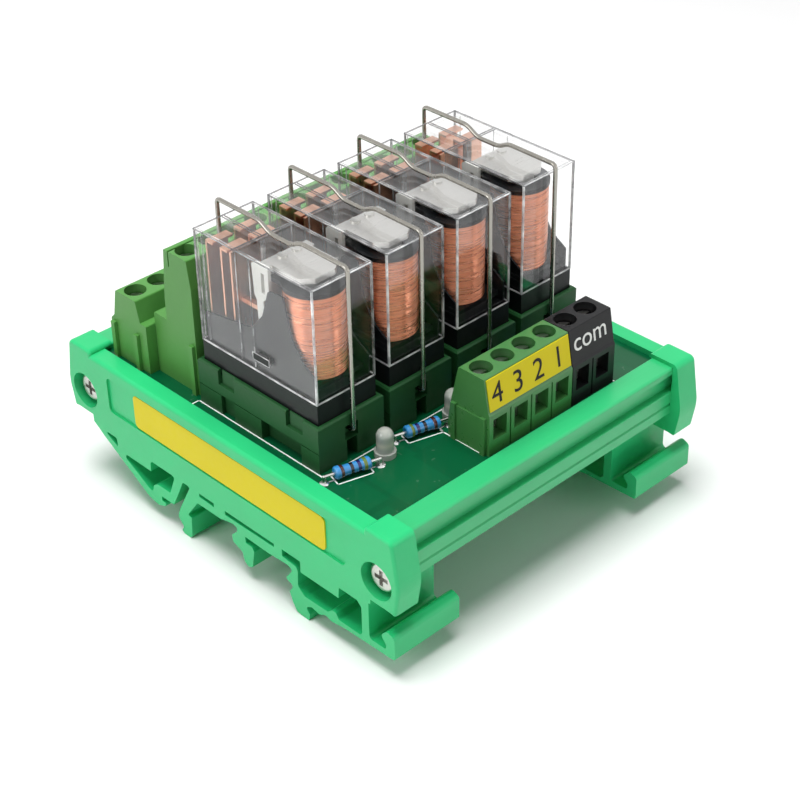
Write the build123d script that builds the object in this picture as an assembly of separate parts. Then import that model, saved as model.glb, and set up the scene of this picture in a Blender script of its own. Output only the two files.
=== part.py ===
from build123d import *
import math
import os

os.makedirs("parts", exist_ok=True)

# Relay module on a rail-mount carrier, in millimetres.
# +Z is up, X runs along the row of relays, the input terminal faces -Y,
# and the origin is at the bottom centre of the box that holds the whole part.

# Carrier
plate_wall = 3.5
block_depth = 5.1
foot_depth = 14.8
block_rise = 0.8
relay_row_room = 3.6
output_row_room = 6.64
profile_z = 16.7
board_seat = 2.6
profile_height = 10.5
profile_floor = 1.5
profile_wall = 1.5
lip_reach = 4.85
channel_depth = 1.2
channel_height = 3.3
board_thickness = 1.6
board_drop = 1.1
ledge_reach = 2.2
ledge_thickness = 1.5

# Plate screws
screw_inset = 2.7
screw_rise = 1.8
screw_pocket = 7.0
screw_pocket_depth = 2.7
screw_head = 5.5
screw_head_height = 1.6
screw_shank = 2.4
screw_length = 12.0
screw_boss = 4.8

# Rail foot
rail_width = 35.1
rail_grip = 1.0
rail_z = 4.2
lip_length = 1.1
hook_y = 17.9
deck_inset = 4.2
deck_height = 3.8
deck_floor = 1.0
leg_back_step = 6.7
leg_front_step = 23.3
arm_wall = 1.2
lever_reach = 1.2
lever_height = 5.2
core_wall = 1.5

# Label
label_margin = 0.3
label_length = 50.1
label_centre_y = -1.35
label_thickness = 0.25
recess_length = 62.4
recess_height = 7.4
recess_depth = 0.4

# Relays
relay_count = 4
socket_gap = 1.4
relay_width = 13.0
relay_length = 29.0
case_height = 21.45
case_wall = 0.6
base_height = 5.2
base_in_socket = 1.3
floor_rise = 0.4
flange_gap = 0.15
coil_y = 6.9
pole_rise = 0.2
rivet_rise = 0.3
head_room = 0.35
flange_thickness = 0.8
core_diameter = 5.0
yoke_thickness = 1.3
yoke_leg = 1.0
armature_thickness = 1.1
armature_length = 9.2
armature_gap = 0.7
card_drop = 9.6
arm_thickness = 0.65
pusher_gap = 0.8
partition = 0.6
blade_room = 8.0
blade_thickness = 0.4
cheek_thickness = 0.35

# Sockets and wire clips
socket_wall = 0.8
socket_height = 8.9
seam_height = 3.85
notch_depth = 1.6
slot_depth = 4.0
wire = 0.8
clip_axis_z = 31.6
clip_gap = 0.15
clip_pin = 2.6
clip_top_rise = 1.35
clip_dip_rise = 0.95
clip_crest_rise = 2.45

# Terminals
pole_pitch = 5.08
screw_hole = 4.0
terminal_screw = 3.5
green_poles = 4
black_poles = 2
input_x = -8.35
block_gap = 0.2
end_wall = 0.6
input_height = 14.55
input_depth = 9.5
output_poles = 12
low_end = 1.5
low_height = 13.95
low_front = 5.6
low_rear = 4.75
high_end = 3.5
high_height = 26.5
high_front_half = 3.65
high_rear = 7.7
window_width = 3.2
window_height = 4.0

# Room on the board, from its front edge to its back edge
front_margin = 3.2
light_strip = 6.7
clip_room = 1.45
row_gap = 0.1
back_margin = 3.75

# Small parts on the board
led_diameter = 3.0
led_height = 5.4
led_side = 4.1
led_ahead = 4.3
resistor_diameter = 2.3
resistor_length = 6.5
resistor_span = 10.3
resistor_side = -3.4
resistor_ahead = 4.4
resistor_turn = -16.0
lead = 0.6
fit = 0.1

# Lengths that follow from what the carrier holds
relay_pitch = relay_width + 2 * socket_wall + socket_gap
inner_length = max(relay_count * relay_pitch + relay_row_room,
                   output_poles * pole_pitch + output_row_room)
module_length = inner_length + 2 * plate_wall
socket_length = relay_length + 2 * socket_wall
high_depth = high_front_half + high_rear
low_depth = low_front + low_rear
rows_depth = clip_room + high_depth + row_gap + low_depth
board_half = (front_margin + input_depth + light_strip + socket_length + rows_depth + back_margin) / 2
profile_half = board_half + board_seat

# Places that follow from the sizes
half_length = module_length / 2
plate_in = half_length - plate_wall
block_in = half_length - block_depth
foot_in = half_length - foot_depth
profile_top = profile_z + profile_height
foot_web_z = profile_z - deck_height
opening_z = foot_web_z - deck_floor
board_top = profile_top - board_drop
board_z = board_top - board_thickness
screw_y = profile_half - screw_inset
screw_z = profile_z + screw_rise
relay_x = -relay_pitch * (relay_count - 1) / 2
input_front_y = front_margin - board_half
relay_y = input_front_y + input_depth + light_strip + socket_length / 2
relay_front = relay_y - relay_length / 2
relay_back = relay_y + relay_length / 2
socket_top = board_top + socket_height
case_z = socket_top - base_in_socket + base_height - 0.1
case_top = case_z + case_height
lever_front = -profile_half - lever_reach
high_x = high_end - plate_in
high_y = relay_back + socket_wall + clip_room + high_front_half
low_x = low_end - plate_in
low_y = high_y + high_rear + row_gap + low_front


def block(x0, x1, y0, y1, z0, z1):
    """Box between two corners."""
    return Pos((x0 + x1) / 2, (y0 + y1) / 2, (z0 + z1) / 2) * Box(x1 - x0, y1 - y0, z1 - z0)


def outline(points):
    """Face inside a closed outline of (position, corner radius) pairs."""
    corners = []
    for i, (here, radius) in enumerate(points):
        back = points[i - 1][0] - here
        ahead = points[(i + 1) % len(points)][0] - here
        if radius == 0:
            corners.append((here, None, here))
            continue
        half = math.radians(back.get_angle(ahead)) / 2
        reach = min(radius / math.tan(half), 0.45 * back.length, 0.45 * ahead.length)
        bisector = (back.normalized() + ahead.normalized()).normalized()
        depth = reach * math.tan(half) * (1 / math.sin(half) - 1)
        corners.append((here + back.normalized() * reach, here + bisector * depth,
                        here + ahead.normalized() * reach))
    edges = []
    for i, (start, middle, end) in enumerate(corners):
        if middle is not None:
            edges.append(Edge.make_three_point_arc(start, middle, end))
        edges.append(Edge.make_line(end, corners[(i + 1) % len(corners)][0]))
    return Face(Wire(edges))


def slab_x(points, x0, x1):
    """Outline of (y, z) or (y, z, radius), drawn from x0 to x1."""
    face = outline([(Vector(x0, p[0], p[1]), p[2] if len(p) > 2 else 0) for p in points])
    return Part() + Solid.extrude(face, Vector(x1 - x0, 0, 0))


def slab_z(points, z0, z1):
    """Outline of (x, y) or (x, y, radius), drawn from z0 to z1."""
    face = outline([(Vector(p[0], p[1], z0), p[2] if len(p) > 2 else 0) for p in points])
    return Part() + Solid.extrude(face, Vector(0, 0, z1 - z0))


def rod(axis, a, b, start, end, diameter):
    """Cylinder along X, Y or Z; a and b are its other two coordinates in order."""
    length = end - start
    centre = (start + end) / 2
    if axis == "X":
        return Pos(centre, a, b) * Rot(0, 90, 0) * Cylinder(diameter / 2, length)
    if axis == "Y":
        return Pos(a, centre, b) * Rot(90, 0, 0) * Cylinder(diameter / 2, length)
    return Pos(a, b, centre) * Cylinder(diameter / 2, length)


def copies(shape, count, dx):
    """The same piece repeated along X."""
    return [Pos(i * dx, 0, 0) * shape for i in range(count)]


def save(name, *shapes):
    """Write one node; several shapes become a group of separate solids."""
    solids = [solid for shape in shapes for solid in shape.solids()]
    export_step(Compound(children=solids) if len(solids) > 1 else solids[0], f"parts/{name}.step")


# Rail foot of an end plate: outline in Y and Z
grip_z = rail_z + rail_grip
latch = hook_y - rail_width
deck_y = profile_half - deck_inset
rear = hook_y - leg_back_step
fore = hook_y - leg_front_step
foot_outline = [
    (deck_y, profile_z), (deck_y, foot_web_z - 0.5), (deck_y - 2.7, foot_web_z - 2.3, 0.8),
    (hook_y + 3.8, rail_z - 1.1, 3.0), (hook_y + 1.2, rail_z - 1.6, 1.5),
    (hook_y - lip_length + 0.1, rail_z - 0.7, 0.3), (hook_y - lip_length, rail_z), (hook_y, rail_z),
    (hook_y, grip_z), (rear + 3.2, grip_z), (rear - 0.2, opening_z, 0.4), (rear - 2.2, opening_z, 0.4),
    (rear + 1.6, grip_z - 0.3), (rear + 2.2, rail_z - 1.0, 0.6), (rear + 0.7, 1.5, 0.6),
    (rear + 1.5, 0.5, 0.4), (rear + 0.7, 0), (rear - 0.9, 0), (rear - 1.5, 0.6, 0.4),
    (rear - 1.8, grip_z - 0.3, 0.3), (rear - 0.8, grip_z, 0.3), (rear - 4.0, opening_z - 2.5, 0.5),
    (fore + 6.4, opening_z - 2.5, 1.0), (fore + 2.9, opening_z - 1.7, 1.0),
    (fore + 1.9, opening_z - 2.0, 0.4), (fore + 1.9, opening_z - 2.8), (fore + 3.4, 7.6, 0.4),
    (fore + 3.3, 6.2, 0.5), (fore + 0.9, grip_z, 0.4), (fore + 0.4, 3.4, 0.6), (fore - 0.5, 2.7, 0.6),
    (fore - 1.7, 3.2, 0.5), (fore - 2.4, 7.0, 0.4), (fore - 1.9, 7.8, 0.3), (fore - 0.3, 7.8),
    (fore - 0.2, opening_z - 2.8), (latch + 5.2, opening_z - 2.9), (latch + 0.5, opening_z - 2.6, 0.6),
    (latch - 0.6, 8.6, 0.6), (latch + 0.9, 6.7, 0.4), (latch + 1.2, 6.1, 0.3), (latch - 0.3, grip_z + 0.2),
    (latch - 0.3, grip_z - 0.4), (latch + 0.5, rail_z - 0.6, 0.3), (latch - 0.3, 1.6, 0.6),
    (latch - 1.2, 0.2, 0.8), (latch - 2.2, 0), (latch - 4.2, 0), (latch - 4.5, 1.4, 0.4),
    (latch - 3.5, 2.6, 0.6), (latch - 5.1, 3.4, 0.6), (latch - 7.0, 3.0, 0.8), (latch - 8.6, 3.8, 0.8),
    (latch - 9.9, 3.3, 0.8), (latch - 13.4, rail_z - 0.4, 2.0), (lever_front, rail_z, 0.4),
    (lever_front, rail_z + lever_height - 0.6, 0.9), (lever_front + 1.7, rail_z + lever_height, 0.8),
    (lever_front + 3.2, rail_z + 3.7, 0.8), (lever_front + 2.0, rail_z + 2.3, 0.6),
    (lever_front + 2.0, rail_z + arm_wall, 0.5), (-deck_y + 0.5, rail_z + arm_wall, 0.8),
    (-deck_y + 0.5, profile_z),
]
foot_windows = [
    [(deck_y - 3.9, opening_z, 0.4), (deck_y - 6.8, opening_z, 0.4), (deck_y - 6.9, opening_z - 2.0, 0.3),
     (deck_y - 4.0, opening_z - 0.5, 0.4)],
    [(deck_y - 7.3, 9.5, 0.6), (hook_y + 2.5, 9.5), (hook_y + 2.3, opening_z, 0.8),
     (rear + 2.1, opening_z, 0.5), (rear + 3.9, grip_z + 2.2, 0.4), (hook_y + 0.8, grip_z + 2.2, 0.5),
     (hook_y + 2.1, grip_z + 1.4, 0.5), (hook_y + 2.4, grip_z), (hook_y + 3.2, grip_z - 0.3, 0.4)],
    [(rear - 4.7, opening_z), (rear - 8.7, opening_z), (rear - 8.7, opening_z - 0.9),
     (rear - 4.7, opening_z - 0.7)],
    [(fore + 4.9, opening_z), (fore - 7.9, opening_z), (fore - 7.9, opening_z - 0.7),
     (fore + 4.9, opening_z - 0.9)],
    [(latch + 1.9, opening_z), (latch + 1.9, opening_z - 1.5), (latch - 1.6, opening_z - 1.8, 0.4),
     (latch - 2.0, opening_z - 2.6, 0.6), (latch - 1.8, 6.3, 0.5),
     (latch - 2.3, rail_z + arm_wall + 0.2, 0.5), (latch - 3.5, rail_z + 0.6, 0.8),
     (latch - 9.2, rail_z + 0.7, 0.6), (latch - 10.2, rail_z + 1.7, 0.4), (latch - 11.2, rail_z + 1.7, 0.4),
     (latch - 11.8, rail_z + 0.6, 0.4), (-deck_y + 2.8, rail_z + 0.6, 0.5),
     (-deck_y + 2.2, rail_z + 1.1, 0.4), (-deck_y + 2.2, opening_z - 1.0, 0.4),
     (-deck_y + 3.2, opening_z, 0.4), (latch - 12.2, opening_z, 0.2), (latch - 12.0, opening_z - 2.3),
     (latch - 2.7, opening_z - 2.3), (latch - 2.7, opening_z)],
]
foot = slab_x(foot_outline, -half_length, -foot_in)
for window in foot_windows:
    foot -= slab_x(window, -half_length - 1, -foot_in + 1)

# Cores in the deck of the foot, open to the inner side
core_edges = [-deck_y + 2.0, -25.0, -13.5, -1.5, 10.0, 21.5, deck_y - 1.5]
for near, far in zip(core_edges, core_edges[1:]):
    foot -= block(-plate_in, -foot_in + 1, near, far - core_wall, foot_web_z + 0.4,
                  profile_z - core_wall + 0.3)

# Wall of the plate, with its outer top edge rounded
wall_top = profile_top - 0.1
wall = block(-half_length, -plate_in, -deck_y, deck_y, foot_web_z, wall_top)
wall = fillet(wall.edges().filter_by(Axis.Y).sort_by(Axis.Z)[-2:].sort_by(Axis.X)[0], 0.8)

# End blocks that sleeve the ends of the profile
block_top = profile_top + block_rise
block_z = foot_web_z + 0.6
end_block = slab_x([(deck_y - 1.2, block_z), (profile_half, block_z, 0.3),
                    (profile_half + 1.4, block_z - 0.2, 0.4), (profile_half + 2.4, block_z + 5.4, 9.0),
                    (profile_half + 0.9, block_top, 1.2), (deck_y - 1.2, block_top, 0.8)], -half_length,
                    -block_in)
end_block = fillet(end_block.faces().sort_by(Axis.X)[0].outer_wire().edges(), 0.6)
profile_hull = slab_x([(0, profile_z), (profile_half - 0.9, profile_z), (profile_half, profile_z + 0.9),
                       (profile_half, profile_top), (0, profile_top)], -plate_in, 0)
end_block -= profile_hull
plate = foot + wall + end_block + mirror(end_block, Plane.XZ)

# Screw pockets and holes, and the recess for the label
for side in (-1, 1):
    pocket_floor = -half_length + screw_pocket_depth
    plate -= rod("X", side * screw_y, screw_z, -half_length - 1, pocket_floor, screw_pocket)
    plate -= rod("X", side * screw_y, screw_z, -half_length, -block_in, screw_shank + 4 * fit)
recess_z = profile_z + 0.6
plate -= slab_x([(-recess_length / 2, recess_z, 1.0), (recess_length / 2, recess_z, 1.0),
                 (recess_length / 2, recess_z + recess_height, 1.0),
                 (-recess_length / 2, recess_z + recess_height, 1.0)],
                -half_length - 1, -half_length + recess_depth)
save("end_plate_left", plate)
save("end_plate_right", mirror(plate, Plane.YZ))

label_height = recess_height - 2 * label_margin
label_z = recess_z + label_margin
label_ends = (label_centre_y - label_length / 2, label_centre_y + label_length / 2)
label = slab_x([(label_ends[0], label_z, 1.0), (label_ends[1], label_z, 1.0),
                (label_ends[1], label_z + label_height, 1.0),
                (label_ends[0], label_z + label_height, 1.0)],
               -half_length + recess_depth - label_thickness, -half_length + recess_depth)
save("plate_label", label)

# Extruded base profile, one half drawn and mirrored
edge_y = board_half + 2 * fit
lip_y = profile_half - lip_reach
channel_y = profile_half - channel_depth
channel_z = profile_top - 1.5 - channel_height
ledge_y = board_half - ledge_reach
boss_y = screw_y - screw_boss / 2
boss_top = screw_z + screw_boss / 2
groove_z = profile_z + 2.8
half_profile = [
    (0, profile_z), (profile_half - 0.9, profile_z), (profile_half, profile_z + 0.9),
    (profile_half, groove_z - 0.3), (profile_half - 0.3, groove_z), (profile_half, groove_z + 0.3),
    (profile_half, channel_z - 0.2, 0.2), (channel_y, channel_z), (channel_y, channel_z + channel_height),
    (profile_half, channel_z + channel_height + 0.2), (profile_half, profile_top, 0.5),
    (lip_y, profile_top, 0.4), (lip_y, board_top + fit), (edge_y, board_top + fit), (edge_y, board_z),
    (ledge_y, board_z), (ledge_y, board_z - ledge_thickness),
    (profile_half - profile_wall, board_z - ledge_thickness - 0.6),
    (profile_half - profile_wall, boss_top), (boss_y, boss_top, 0.5), (boss_y, profile_z + profile_floor),
    (0, profile_z + profile_floor),
]
half = slab_x(half_profile, -plate_in, plate_in)
half -= rod("X", screw_y, screw_z, -plate_in - 1, plate_in + 1, screw_shank + 2 * fit)
half -= block(-plate_in - 1, plate_in + 1, boss_y - 1, screw_y, screw_z - 0.4, screw_z + 0.4)
save("base_profile", half + mirror(half, Plane.XZ))

# Circuit board
save("circuit_board", block(-plate_in + fit, plate_in - fit, -board_half, board_half, board_z, board_top))

# Plate screws: pan head with a cross recess
head_x = -half_length + screw_pocket_depth
head = rod("X", screw_y, screw_z, head_x - screw_head_height, head_x, screw_head)
head = fillet(head.edges().filter_by(GeomType.CIRCLE).sort_by(Axis.X)[0], 0.7)
for turn in (0, 90):
    head -= Pos(head_x - screw_head_height, screw_y, screw_z) * Rot(turn, 0, 0) * Box(1.8, 3.0, 0.8)
plate_screw = head + rod("X", screw_y, screw_z, head_x, head_x + screw_length, screw_shank)
left_pair = [plate_screw, mirror(plate_screw, Plane.XZ)]
save("plate_screws", *left_pair, *[mirror(s, Plane.YZ) for s in left_pair])

# Relay pieces, drawn for the first relay
cx = relay_x
left = cx - relay_width / 2
right = cx + relay_width / 2
front = relay_front
base_z = case_z - base_height
case = block(left, right, front, relay_back, case_z, case_top)
case = fillet(case.edges().filter_by(Axis.Z), 0.5)
case -= block(left + case_wall, right - case_wall, front + case_wall, relay_back - case_wall, case_z,
              case_top - case_wall)
roof_z = case_top - case_wall

# Black base: plinth under the case, floor inside it and two cheeks beside the coil
inside = case_wall + fit
floor_z = case_z + floor_rise
base = block(left + fit, right - fit, front + fit, relay_back - fit, base_z, case_z)
base += block(left + inside, right - inside, front + inside, relay_back - inside, case_z, floor_z)
coil_centre_y = front + coil_y
flange_half = relay_width / 2 - inside - cheek_thickness - flange_gap
coil_diameter = 2 * flange_half - 0.2
yoke_y = coil_centre_y + coil_diameter / 2 + 0.7
yoke_back = yoke_y + yoke_thickness
hinge_y = yoke_y + yoke_thickness / 2
cheek = slab_x([(relay_back - inside, case_z), (relay_back - inside, case_z + 5.5),
                (hinge_y + 3.0, case_z + 7.4, 1.0), (hinge_y - 0.2, case_z + 11.1, 1.0),
                (hinge_y - 2.0, case_z + 16.4, 0.5), (coil_centre_y + 1.0, case_z + 16.8),
                (coil_centre_y - 0.4, case_z + 10.0, 3.0), (front + 4.0, case_z + 6.2, 3.0),
                (front + inside, case_z + 4.2), (front + inside, case_z)], left + inside,
                left + inside + cheek_thickness)
cheek -= block(left, left + 3, front + 11.4, front + 15.2, case_z + 2.2, case_z + 3.6)
base += cheek + mirror(cheek, Plane.YZ.offset(cx))

# Steel: bottom leg and back of the yoke, with the core standing on the leg
flange_z = floor_z + yoke_leg
coil_z = flange_z + flange_thickness
plate_top = roof_z - head_room - rivet_rise
plate_z = plate_top - armature_thickness
pole_z = plate_z - armature_gap
coil_top = pole_z - pole_rise - flange_thickness
yoke_half = flange_half - 1.0
yoke = block(cx - yoke_half, cx + yoke_half, coil_centre_y - 4.0, yoke_back, floor_z, flange_z)
yoke += block(cx - yoke_half, cx + yoke_half, yoke_y, yoke_back, floor_z, plate_z - fit)
yoke += rod("Z", cx, coil_centre_y, floor_z, pole_z, core_diameter)

# Bobbin with square lower flange and wide top flange, and the winding round it
bobbin = block(cx - flange_half, cx + flange_half, coil_centre_y - flange_half,
               coil_centre_y + flange_half,
               flange_z, coil_z)
bobbin += rod("Z", cx, coil_centre_y, coil_z, coil_top, core_diameter + 1.4)
bobbin += rod("Z", cx, coil_centre_y, coil_top, coil_top + flange_thickness, 2 * flange_half)
bobbin += block(cx - yoke_half, cx + yoke_half, coil_centre_y, yoke_y - fit, coil_top,
                coil_top + flange_thickness)
bobbin -= rod("Z", cx, coil_centre_y, floor_z, pole_z, core_diameter)
coil = rod("Z", cx, coil_centre_y, coil_z, coil_top, coil_diameter)
coil -= rod("Z", cx, coil_centre_y, coil_z, coil_top, core_diameter + 1.4)

# Armature on the yoke's top edge, open by its gap over the core, with an ear on each side
tip_y = hinge_y - armature_length
tail_y = hinge_y + 0.9
ear_y = hinge_y - 1.2
plate_half = flange_half - 1.3
ear_half = flange_half - 0.7
wide_ear = ear_half + arm_thickness
armature = slab_z([(cx - 2.0, tip_y, 0.8), (cx - plate_half, tip_y + 1.8, 0.8), (cx - plate_half, ear_y),
                   (cx - ear_half, ear_y, 0.3), (cx - ear_half, tail_y), (cx + wide_ear, tail_y),
                   (cx + wide_ear, ear_y, 0.3), (cx + ear_half, ear_y), (cx + ear_half, tip_y + 1.8, 0.8),
                   (cx + 2.4, tip_y, 0.8)], plate_z, plate_top)
for dx in (-0.9, 2.2):
    armature += rod("Z", cx + dx, hinge_y - 0.2, plate_top, plate_top + rivet_rise, 1.7)

# Card: one arm beside an ear and one below the other, joined by a bar that faces the levers
card_z = plate_z - card_drop
bend_z = card_z + 4.6
bar_back = hinge_y + 1.9
arm = slab_x([(hinge_y - 1.6, plate_top), (hinge_y - 1.6, bend_z + 0.6, 0.4),
              (hinge_y - 0.1, bend_z - 0.6, 0.4), (hinge_y - 0.1, card_z + 0.8), (hinge_y + 0.6, card_z),
              (hinge_y + 1.5, card_z, 0.2), (hinge_y + 1.6, bend_z - 0.9, 0.3),
              (hinge_y + 2.1, bend_z - 0.1, 0.3), (hinge_y + 2.4, plate_top - 0.5, 0.3),
              (hinge_y + 1.6, plate_top)], cx - ear_half - arm_thickness, cx - ear_half)
arm -= block(left, cx, hinge_y - 0.6, hinge_y + 0.2, bend_z + 0.8, plate_z - 0.4)
low_arm = mirror(arm, Plane.YZ.offset(cx)) - block(cx, right, front, relay_back, plate_z, roof_z)
low_arm -= block(cx, right, tail_y, relay_back, bend_z + 1.6, roof_z)
card = arm + low_arm
card += block(cx - ear_half - fit, cx + ear_half + fit, hinge_y + 1.0, bar_back, card_z, card_z + 1.0)

# Walls inside the case: one across it above the bar's reach, one between the two poles
partition_z = card_z + 2.0
partition_y = relay_back - blade_room - 2.2
case += block(left + case_wall, right - case_wall, partition_y, partition_y + partition, partition_z,
              roof_z)
case += block(cx - partition / 2, cx + partition / 2, partition_y + partition, relay_back - case_wall,
              partition_z, roof_z)

# Contact blades of two poles: a moving blade with its lever, and two fixed blades behind it
moving_y = relay_back - blade_room
blade_top = roof_z - 1.5
pole_inner = partition / 2 + 0.5
pole_outer = flange_half - 0.1
blades = []
for side in (-1, 1):
    x0, x1 = sorted((cx + side * pole_inner, cx + side * pole_outer))
    middle = (x0 + x1) / 2
    for i, step in enumerate((0, 2.4, 6.1)):
        y = moving_y + step
        blade = block(x0, x1, y, y + blade_thickness, floor_z, blade_top)
        if i == 0:
            blade += block(middle - 0.5, middle + 0.5, bar_back + pusher_gap, y, card_z, card_z + 0.8)
        else:
            blade += block(x0, x1, y - 1.4, y, blade_top - blade_thickness, blade_top)
        if i < 2:
            blade += rod("Y", middle, blade_top - 2.0, y + blade_thickness, y + blade_thickness + 0.8,
                         2.6)
        blades.append(blade)

# Socket: upper shell with hook windows, seam, lower body with clearances
socket_left = left - socket_wall
socket_front = front - socket_wall
socket_back = relay_back + socket_wall
seam_z = board_top + seam_height
socket = block(socket_left, right + socket_wall, socket_front, socket_back, board_top, socket_top)
socket = chamfer(socket.faces().sort_by(Axis.Z)[-1].edges(), 0.3)
socket -= block(left - fit / 2, right + fit / 2, front - fit / 2, relay_back + fit / 2, base_z,
                socket_top + 1)
side_cuts = []
for y in (front + 3.0, relay_back - 8.7):
    side_cuts.append(block(socket_left - 1, socket_left + 0.55, y, y + 3.6, socket_top - 2.9,
                           socket_top + 1))
    side_cuts.append(block(socket_left - 1, left, y + 3.6, y + 4.1, socket_top - 2.9, socket_top + 1))
side_cuts.append(block(socket_left - 1, socket_left + 1.6, front + 3.6, front + 13.6, board_top - 1,
                       seam_z))
side_cuts.append(block(socket_left - 1, socket_left + 0.8, relay_back - 8.4, relay_back - 5.0,
                       board_top - 1, seam_z))
side_cuts.append(block(socket_left - 1, socket_left + 0.15, socket_front - 1, socket_back + 1, seam_z,
                       seam_z + 0.2))
for cut in side_cuts:
    socket -= cut + mirror(cut, Plane.YZ.offset(cx))
notch_half = 1.45
for face_y, inward in ((socket_front, 1), (socket_back, -1)):
    near, far = sorted((face_y - inward, face_y + notch_depth * inward))
    socket -= block(cx - notch_half, cx + notch_half, near, far, clip_axis_z - 1.6, clip_axis_z + 1.2)
    near, far = sorted((face_y - inward, face_y + slot_depth * inward))
    socket -= block(cx - 1.15, cx + 1.15, near, far, board_top - 1, seam_z)
    near, far = sorted((face_y - inward, face_y + (clip_pin + 2 * fit) * inward))
    socket -= rod("Y", cx, clip_axis_z, near, far, wire + 2 * fit)

# Wire clip: pivot pins, legs, straight front run, dip on the case and raised back run
leg_front = socket_front - clip_gap - wire / 2
leg_back = socket_back + clip_gap + wire / 2
pin_reach = clip_gap + wire / 2 + clip_pin
run_z = case_top + clip_top_rise
dip_z = case_top + clip_dip_rise
crest_z = case_top + clip_crest_rise
bends = [
    (leg_front + pin_reach, clip_axis_z), (leg_front, clip_axis_z),
    (front - wire / 2 - 2 * clip_gap, run_z - 4.0), (front - wire / 2 - 2 * clip_gap, run_z),
    (front + 10.6, run_z), (front + 12.4, dip_z), (relay_back - 12.8, dip_z),
    (relay_back - 10.6, crest_z - 0.6), (leg_back, crest_z), (leg_back, clip_axis_z),
    (leg_back - pin_reach, clip_axis_z),
]
clip_path = FilletPolyline(*[Vector(cx, y, z) for y, z in bends], radius=0.8)
start = clip_path @ 0
clip = sweep(Plane(origin=start, x_dir=(1, 0, 0), z_dir=clip_path % 0) * Circle(wire / 2), path=clip_path)

for i in range(relay_count):
    shift = Pos(i * relay_pitch, 0, 0)
    save(f"relay_base_{i + 1}", shift * base)
    save(f"relay_case_{i + 1}", shift * case)
    save(f"relay_bobbin_{i + 1}", shift * bobbin)
    save(f"relay_coil_{i + 1}", shift * coil)
    save(f"relay_yoke_{i + 1}", shift * yoke)
    save(f"relay_armature_{i + 1}", shift * armature)
    save(f"relay_card_{i + 1}", shift * card)
    save(f"relay_contacts_{i + 1}", *[shift * blade for blade in blades])
    save(f"relay_socket_{i + 1}", shift * socket)
    save(f"socket_clip_{i + 1}", shift * clip)


def terminal_screw_at(x, y, top):
    """Slotted screw: head and shank, with its head 1.6 below the top of the block."""
    head_top = top - 1.6
    screw = rod("Z", x, y, head_top - 1.4, head_top, terminal_screw)
    screw -= block(x - 2, x + 2, y - 0.35, y + 0.35, head_top - 0.7, head_top + 1)
    return screw + rod("Z", x, y, head_top - 4.0, head_top - 1.4, 2.4)


def cage_at(x, y0, y1, z0, z1):
    """Wire cage: square tube that the screw closes."""
    cage = block(x - window_width / 2 + fit, x + window_width / 2 - fit, y0, y1, z0, z1)
    return cage - block(x - window_width / 2 + 0.6, x + window_width / 2 - 0.6, y0 - 1, y1 + 1, z0 + 0.5,
                        z1 - 0.8)


screws = []

# Input terminal: four green poles and two black ones, wire windows to the front
input_top = board_top + input_height
input_back = input_front_y + input_depth
input_screw_y = input_front_y + 4.45
input_outline = [
    (input_front_y, board_top), (input_front_y, input_top - 6.6, 0.2),
    (input_front_y + 0.3, input_top - 6.2), (input_front_y + 1.4, input_top, 0.2),
    (input_back - 2.4, input_top, 0.3), (input_back - 0.7, input_top - 7.2),
    (input_back, input_top - 11.5), (input_back, board_top),
]
cage_top = input_top - 7.6
input_clamps = []


def input_block(x0, poles, end):
    """Row of poles with screw holes above, wire windows in front and an end wall."""
    body = slab_x(input_outline, x0, x0 + poles * pole_pitch + end)
    for i in range(poles):
        x = x0 + (i + 0.5) * pole_pitch
        body -= rod("Z", x, input_screw_y, cage_top - 0.1, input_top + 1, screw_hole)
        body -= block(x - window_width / 2, x + window_width / 2, input_front_y - 1, input_screw_y + 2.4,
                      cage_top - window_height - 0.1, cage_top)
        if i:
            edge = x - pole_pitch / 2
            body -= block(edge - 0.15, edge + 0.15, input_front_y - 1, input_front_y + 0.4, board_top - 1,
                          input_top - 7.0)
        screws.append(terminal_screw_at(x, input_screw_y, input_top))
        input_clamps.append(cage_at(x, input_screw_y - 2.2, input_screw_y + 2.2, cage_top - window_height,
                                    cage_top - 0.1))
    return body


green_end = input_x + green_poles * pole_pitch
black_x = green_end + block_gap
green_input = input_block(input_x, green_poles, 0)
for y in (input_front_y + 1.2, input_back - 1.6):
    green_input += block(input_x - 0.6, input_x, y - 0.5, y + 0.5, board_top, board_top + 7.3)
green_input += block(input_x - 0.25, input_x, input_front_y + 1.7, input_back - 2.1, board_top,
                     board_top + 6.9)
save("input_terminal_green", green_input)
save("input_terminal_black", input_block(black_x, black_poles, end_wall))
save("input_clamps", *input_clamps)

# Number strip on the sloped face of the green poles
slope_top = Vector(0, input_front_y + 1.4, input_top)
slope_foot = Vector(0, input_front_y + 0.3, input_top - 6.2)
slope = (slope_foot - slope_top).normalized()
out = Vector(0, slope.Z, -slope.Y) * 0.2
strip = [slope_top + slope * 0.3, slope_foot - slope * 0.2]
save("terminal_label", slab_x([(strip[0].Y, strip[0].Z), (strip[1].Y, strip[1].Z),
                               ((strip[1] + out).Y, (strip[1] + out).Z),
                               ((strip[0] + out).Y, (strip[0] + out).Z)],
                              input_x + 0.4, green_end - 0.2))

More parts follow.
